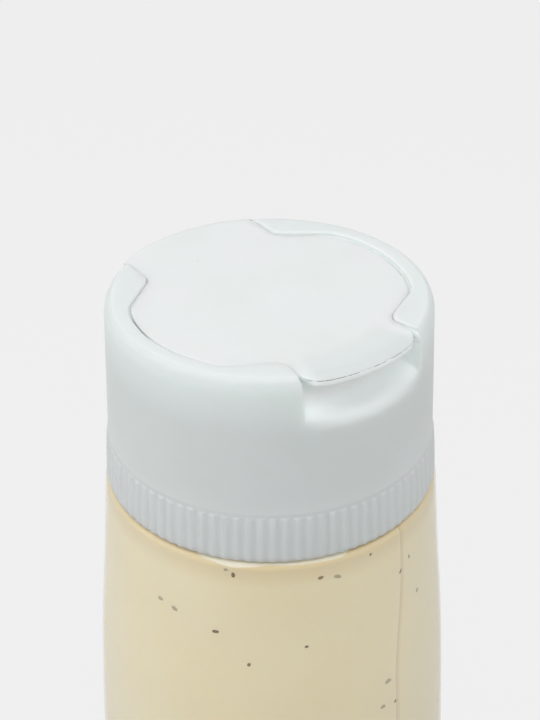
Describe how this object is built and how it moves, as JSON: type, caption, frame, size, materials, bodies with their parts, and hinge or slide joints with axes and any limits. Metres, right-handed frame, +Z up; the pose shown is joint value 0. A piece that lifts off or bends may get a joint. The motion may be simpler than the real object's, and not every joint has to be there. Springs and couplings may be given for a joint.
{
  "type": "garlic sauce bottle",
  "caption": "Clear round squeeze bottle of pale garlic sauce with a white flip-top cap, its lid on a hinge.",
  "frame": {"origin": "centre of the base, on the surface that the bottle stands on", "axes": "+Z up along the bottle's axis; -Y to the cap's thumb recess, +Y to the lid's hinge"},
  "size_m": [0.0608, 0.0608, 0.165],
  "materials": {
    "clear_bottle": "clear blown polypropylene, smooth and slightly hazy",
    "garlic_sauce": "thick pale cream sauce with small dark herb flecks",
    "white_cap": "white moulded polypropylene, satin"
  },
  "bodies": {
    "bottle": {"bottle": "clear_bottle", "sauce": "garlic_sauce", "cap": "white_cap"},
    "lid": {"flip_lid": "white_cap"}
  },
  "joints": [
    {"name": "lid_hinge", "type": "hinge", "parent": "bottle", "child": "lid", "pos_m": [0, 0.02515, 0.1634], "axis": [-1, 0, 0], "range_deg": [0, 130]}
  ]
}
